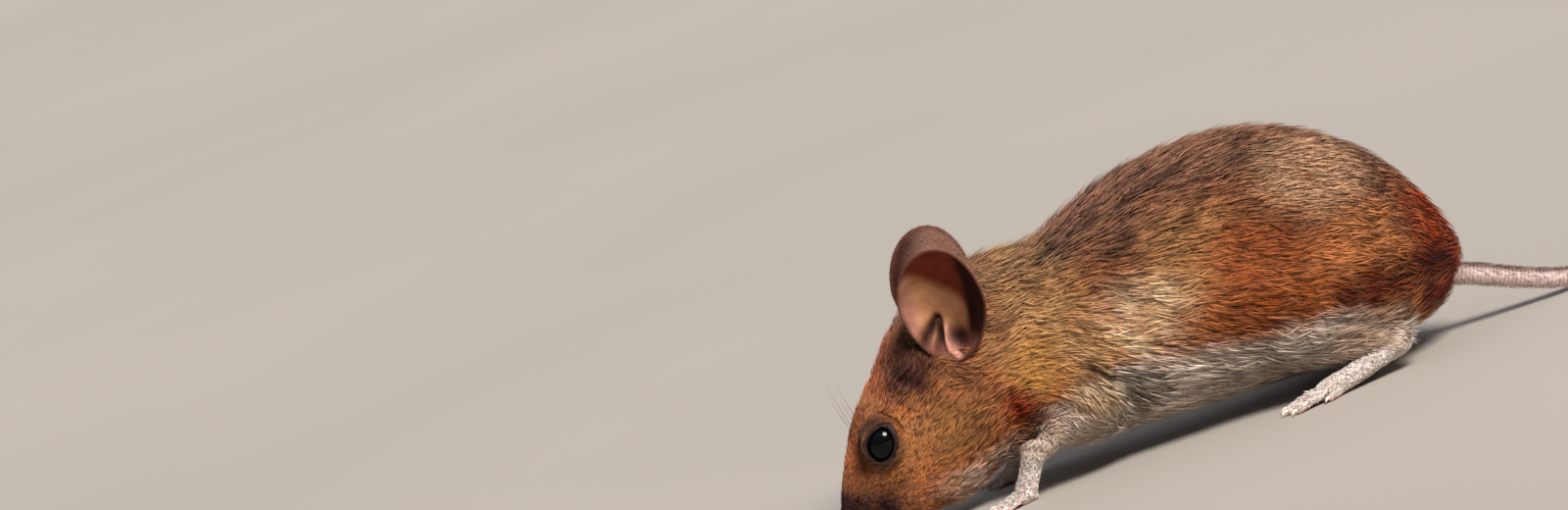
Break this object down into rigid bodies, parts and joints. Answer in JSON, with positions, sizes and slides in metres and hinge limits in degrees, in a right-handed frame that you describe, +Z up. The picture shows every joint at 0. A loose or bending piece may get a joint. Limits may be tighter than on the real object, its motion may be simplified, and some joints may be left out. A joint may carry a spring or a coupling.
{
  "type": "wood mouse",
  "caption": "Life-size still model of a brown wood mouse, crouched on four feet with its nose to the ground and its tail laid out behind.",
  "frame": {"origin": "on the floor plane, under the middle of the bounding box of the whole animal with its tail", "axes": "+X from the nose towards the tail, +Y towards the animal's right side, +Z up from the floor"},
  "size_m": [0.1612, 0.0346, 0.0352],
  "materials": {
    "coat": "dense short fur, rust and golden brown above with dark guard hairs, pale grey cream below",
    "ear_skin": "thin bare skin, brown outside and pink inside, with fine down",
    "eye": "wet glossy black",
    "foot_skin": "pale pink skin with sparse white hairs, matt",
    "tail_skin": "ringed scaly skin, dark above and pinkish grey below, satin",
    "claw": "small translucent horn claws, semi-gloss",
    "whisker": "stiff dark tactile hairs with pale tips"
  },
  "bodies": {
    "root": {"head": "coat", "neck": "coat", "trunk": "coat", "foreleg_left": "coat", "foreleg_right": "coat", "hindleg_left": "coat", "hindleg_right": "coat", "ear_left": "ear_skin", "ear_right": "ear_skin", "eye_left": "eye", "eye_right": "eye", "forepaw_left": "foot_skin", "forepaw_right": "foot_skin", "hindfoot_left": "foot_skin", "hindfoot_right": "foot_skin", "tail_base": "tail_skin", "tail_middle": "tail_skin", "tail_tip": "tail_skin"}
  },
  "joints": []
}
